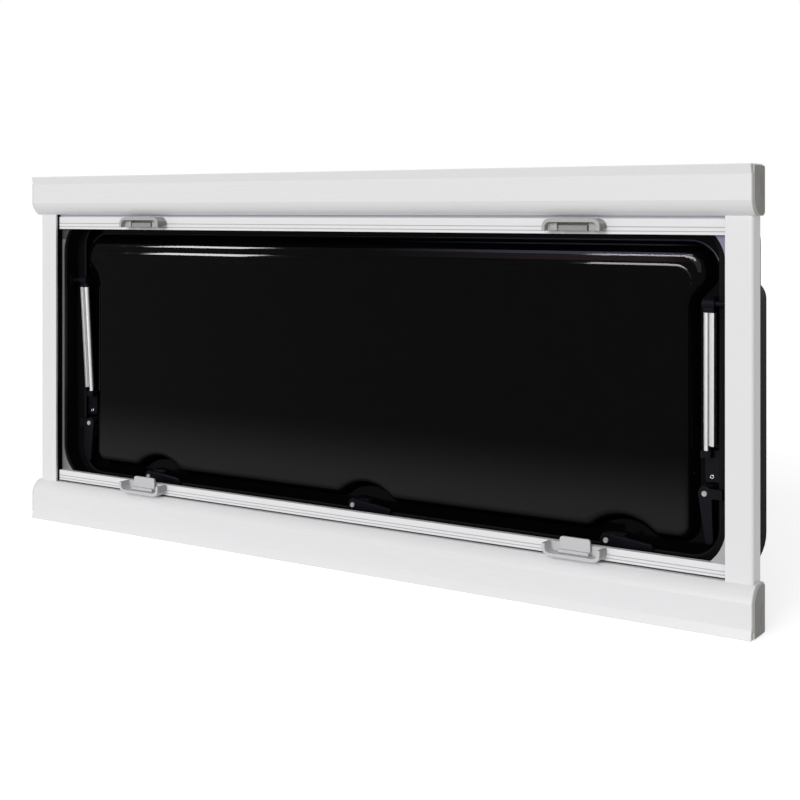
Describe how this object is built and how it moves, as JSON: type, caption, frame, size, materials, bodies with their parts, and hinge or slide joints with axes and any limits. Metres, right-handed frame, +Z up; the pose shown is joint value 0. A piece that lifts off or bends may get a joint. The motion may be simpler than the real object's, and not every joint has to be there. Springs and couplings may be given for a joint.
{
  "type": "caravan window with blind and flyscreen frame",
  "caption": "Top-hung caravan window: black double acrylic sash with stays and lever latches, in a white inner frame that houses a roller blind above and a flyscreen below.",
  "frame": {"origin": "on the flange face that seals against the outer skin, in the middle of its lower leg", "axes": "+X to the right seen from indoors, +Y outdoors, +Z up"},
  "size_m": [1.3078, 0.1123, 0.6],
  "materials": {
    "white_frame": "smooth satin white",
    "cap_grey": "moulded, fine grain",
    "handle_grey": "moulded, fine grain",
    "rim_grey": "satin",
    "guide_black": "plain",
    "frame_black": "black coated",
    "seal_rubber": "soft matt",
    "acrylic_black": "polished",
    "stay_silver": "anodised",
    "rod_steel": "drawn",
    "fitting_black": "moulded",
    "button_grey": "moulded"
  },
  "bodies": {
    "root": {"blind_cassette": "white_frame", "screen_cassette": "white_frame", "channel_left": "white_frame", "channel_right": "white_frame", "blind_bar": "white_frame", "screen_bar": "white_frame", "blind_cap_left": "cap_grey", "blind_cap_right": "cap_grey", "screen_cap_left": "cap_grey", "screen_cap_right": "cap_grey", "blind_handle_left": "handle_grey", "blind_handle_right": "handle_grey", "screen_handle_left": "handle_grey", "screen_handle_right": "handle_grey", "blind_catch_left": "handle_grey", "blind_catch_right": "handle_grey", "screen_clip_left": "handle_grey", "screen_clip_right": "handle_grey", "frame_rim": "rim_grey", "blind_bar_guides": "guide_black", "screen_bar_guides": "guide_black", "outer_frame": "frame_black", "hinge_rail": "frame_black", "hinge_strip": "frame_black", "seal": "seal_rubber", "inner_pane": "acrylic_black", "outer_pane": "acrylic_black", "stay_tube_left": "stay_silver", "stay_tube_right": "stay_silver", "stay_rod_left": "rod_steel", "stay_rod_right": "rod_steel", "stay_head_left": "fitting_black", "stay_head_right": "fitting_black", "stay_frame_bracket_left": "fitting_black", "stay_frame_bracket_right": "fitting_black", "stay_sash_bracket_left": "fitting_black", "stay_sash_bracket_right": "fitting_black", "latch_lever_left": "fitting_black", "latch_lever_right": "fitting_black", "latch_lever_bottom_left": "fitting_black", "latch_lever_bottom_middle": "fitting_black", "latch_lever_bottom_right": "fitting_black", "latch_bases": "fitting_black", "latch_buttons": "button_grey"}
  },
  "joints": []
}
